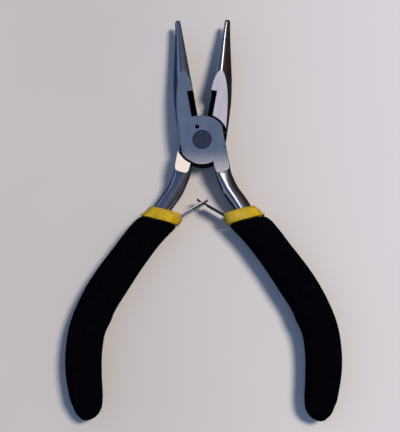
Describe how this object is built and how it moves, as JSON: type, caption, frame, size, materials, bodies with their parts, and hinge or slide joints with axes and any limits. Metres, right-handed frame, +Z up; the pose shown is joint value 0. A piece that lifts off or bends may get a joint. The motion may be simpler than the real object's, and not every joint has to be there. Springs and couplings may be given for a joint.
{
  "type": "round nose pliers",
  "caption": "Small spring-loaded pliers with tapered round-backed jaws, side cutters, a lap joint and soft curved grips.",
  "frame": {"origin": "centre of the bottom of the bounding box, on the surface the pliers lie on", "axes": "+Z up out of the surface, +Y along the pliers from the handles to the jaws, +X to the right seen from above"},
  "size_m": [0.0834, 0.1242, 0.0098],
  "materials": {
    "polished_steel": "polished, with satin ground flats at the joint",
    "satin_steel": "satin",
    "spring_steel": "rolled spring strip",
    "yellow_pvc": "glossy",
    "black_rubber": "matte, finely textured"
  },
  "bodies": {
    "lower": {"lower_half": "polished_steel", "pivot_rivet": "satin_steel", "left_sleeve": "yellow_pvc", "left_grip": "black_rubber"},
    "upper": {"upper_half": "polished_steel", "right_sleeve": "yellow_pvc", "right_grip": "black_rubber"},
    "left_leaf": {"left_leaf_spring": "spring_steel"},
    "right_leaf": {"right_leaf_spring": "spring_steel"}
  },
  "joints": [
    {"name": "pivot", "type": "hinge", "parent": "lower", "child": "upper", "pos_m": [0, 0.02288, 0.00491], "axis": [0, 0, 1], "range_deg": [-20.5, 3], "stiffness_Nm_per_rad": 0.3},
    {"name": "left_leaf_bend", "type": "hinge", "parent": "lower", "child": "left_leaf", "pos_m": [-0.00716, -0.00042, 0.00491], "axis": [0, 0, 1], "range_deg": [-4.6, 29.5]},
    {"name": "right_leaf_bend", "type": "hinge", "parent": "upper", "child": "right_leaf", "pos_m": [0.00716, -0.00042, 0.00491], "axis": [0, 0, 1], "range_deg": [-29.5, 4.6]}
  ],
  "couplings": [
    {"joint": "left_leaf_bend", "follows": "pivot", "ratio": -1.41},
    {"joint": "right_leaf_bend", "follows": "pivot", "ratio": 1.41}
  ]
}
